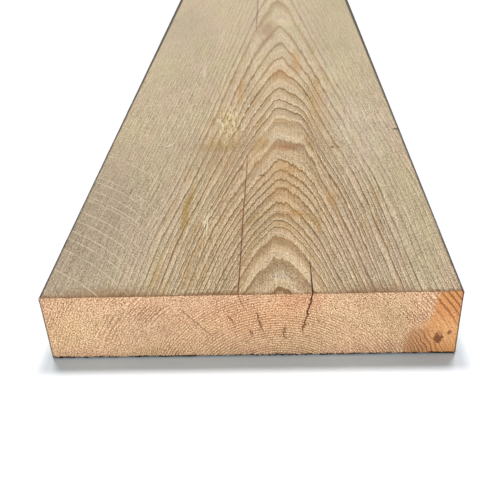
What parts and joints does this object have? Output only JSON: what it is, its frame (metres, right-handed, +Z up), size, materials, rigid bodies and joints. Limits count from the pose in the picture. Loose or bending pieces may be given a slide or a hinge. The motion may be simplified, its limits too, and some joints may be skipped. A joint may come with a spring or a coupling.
{
  "type": "timber plank",
  "caption": "Straight sawn softwood plank of plain rectangular section, square cut, with drying checks at one end; flat stock for decking, shelving, joists and shuttering.",
  "frame": {"origin": "middle of the underside, which lies flat on the floor", "axes": "+X across the width, +Y along the grain away from the checked end, +Z up through the thickness"},
  "size_m": [0.25, 2.4, 0.047],
  "materials": {
    "sawn_timber": "matte"
  },
  "bodies": {
    "root": {"plank": "sawn_timber"}
  },
  "joints": []
}
